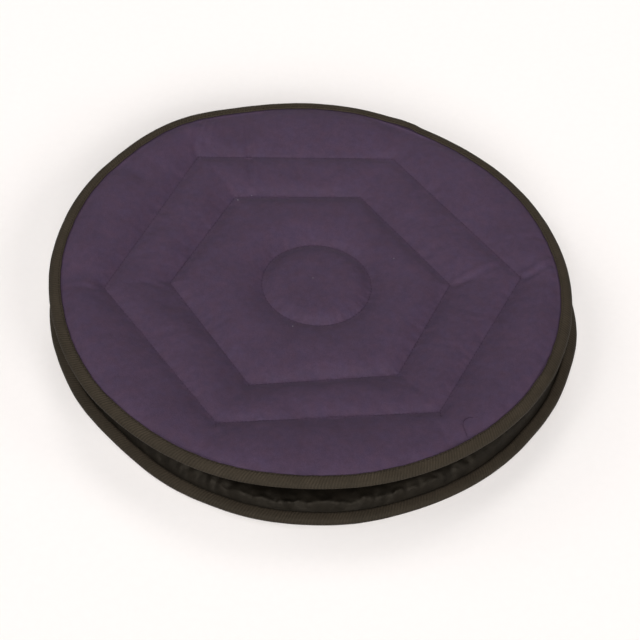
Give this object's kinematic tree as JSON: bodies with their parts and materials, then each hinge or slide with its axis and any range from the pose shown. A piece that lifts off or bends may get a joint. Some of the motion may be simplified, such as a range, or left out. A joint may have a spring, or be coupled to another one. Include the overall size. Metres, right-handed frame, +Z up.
{
  "type": "swivel seat cushion",
  "caption": "Round quilted seat cushion, edged with bias binding, that turns on a thinner padded base.",
  "frame": {"origin": "middle of the base pad's flat underside, on the surface that the cushion stands on", "axes": "+Z up, -Y towards the front of the picture's view, +X to its right"},
  "size_m": [0.4141, 0.4091, 0.0468],
  "materials": {
    "purple_cloth": "matte brushed cloth, quilted in straight lines",
    "olive_tape": "ribbed bias tape, matte",
    "dark_satin": "dark satin nylon with a soft sheen"
  },
  "bodies": {
    "base": {"base_pad": "dark_satin", "base_binding": "olive_tape"},
    "top": {"top_pad": "purple_cloth", "top_binding": "olive_tape"}
  },
  "joints": [
    {"name": "swivel", "type": "hinge", "parent": "base", "child": "top", "pos_m": [-0.0035, 0, 0.012], "axis": [0, 0, 1], "continuous": true}
  ]
}
